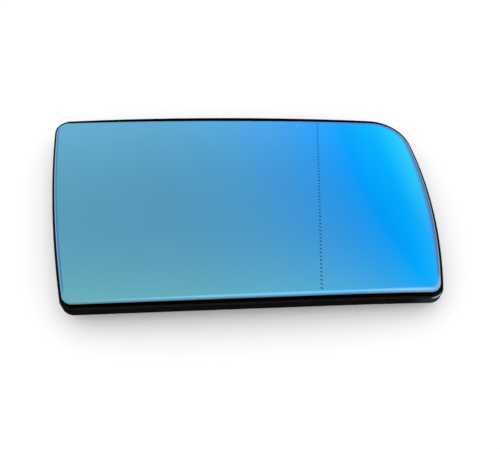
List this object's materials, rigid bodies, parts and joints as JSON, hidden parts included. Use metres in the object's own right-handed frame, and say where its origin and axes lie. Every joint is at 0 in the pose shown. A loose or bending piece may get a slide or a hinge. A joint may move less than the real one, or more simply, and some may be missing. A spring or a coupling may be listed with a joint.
{
  "type": "car door mirror glass",
  "caption": "Blue tinted convex door mirror glass with an aspheric outer zone, bonded to a black moulded backing plate with a clip collar and heater tabs.",
  "frame": {"origin": "under the middle of the glass, on the axis of the clip collar, on the plane where the collar's rim rests", "axes": "+X outboard along the lower edge of the glass, +Y up the glass, +Z out of the reflecting face"},
  "size_m": [0.1941, 0.1191, 0.0169],
  "materials": {
    "blue_mirror": "polished",
    "black_moulding": "satin",
    "heater_film": "satin",
    "bonding_foam": "matte",
    "tab_brass": "satin",
    "spring_wire": "satin"
  },
  "bodies": {
    "root": {"mirror_glass": "blue_mirror", "backing_plate": "black_moulding", "heater_foil": "heater_film", "adhesive_pad": "bonding_foam", "heater_terminal_lower": "tab_brass", "heater_terminal_upper": "tab_brass", "retaining_spring": "spring_wire"}
  },
  "joints": []
}
